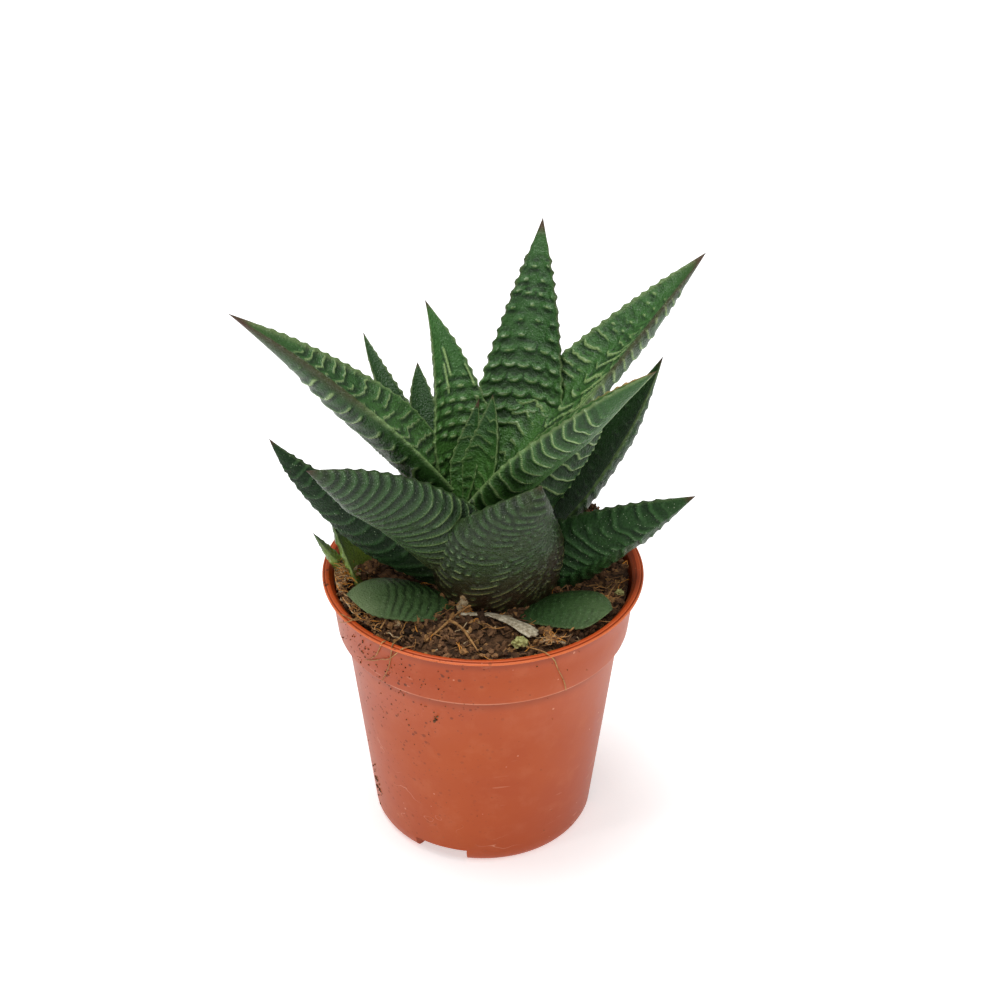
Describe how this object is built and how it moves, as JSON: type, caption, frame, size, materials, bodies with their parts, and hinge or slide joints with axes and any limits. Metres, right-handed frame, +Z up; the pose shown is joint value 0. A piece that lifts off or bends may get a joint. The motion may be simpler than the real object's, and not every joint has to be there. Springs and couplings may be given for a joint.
{
  "type": "potted haworthia",
  "caption": "Potted haworthia: a rosette of thick, pointed, cross-ribbed dark green leaves rising from dark soil in a tapered round terracotta-coloured plastic pot with a band below its rim.",
  "frame": {"origin": "on the pot's axis, in the plane that the pot stands on", "axes": "+Z up along the pot's axis; -Y towards the viewer of the picture; +X to that viewer's right"},
  "size_m": [0.121, 0.085, 0.1595],
  "materials": {
    "pot_plastic": "satin",
    "peat_soil": "rough",
    "stem_flesh": "matte",
    "leaf": "satin",
    "leaf_shaded": "satin",
    "pup_leaf": "satin",
    "dried_plant": "matte",
    "root_fibre": "matte",
    "prill": "matte"
  },
  "bodies": {
    "root": {"pot": "pot_plastic", "soil": "peat_soil", "stem": "stem_flesh", "leaf_front": "leaf", "leaf_front_left": "leaf", "leaf_left_low": "leaf_shaded", "leaf_left_long": "leaf", "leaf_back_left": "leaf", "leaf_back_blunt": "leaf", "leaf_centre_back": "leaf", "leaf_heart": "leaf", "leaf_heart_slim": "leaf", "leaf_back_tall": "leaf", "leaf_right_tall": "leaf", "leaf_right_front": "leaf", "leaf_right_slim": "leaf", "leaf_right_back": "leaf_shaded", "leaf_right_low": "leaf_shaded", "leaf_soil_left": "leaf_shaded", "leaf_soil_right": "leaf_shaded", "pup_leaf_inner": "pup_leaf", "pup_leaf_outer": "pup_leaf", "dried_stalk": "dried_plant", "root_front": "root_fibre", "prill_front": "prill", "prill_right": "prill"}
  },
  "joints": []
}
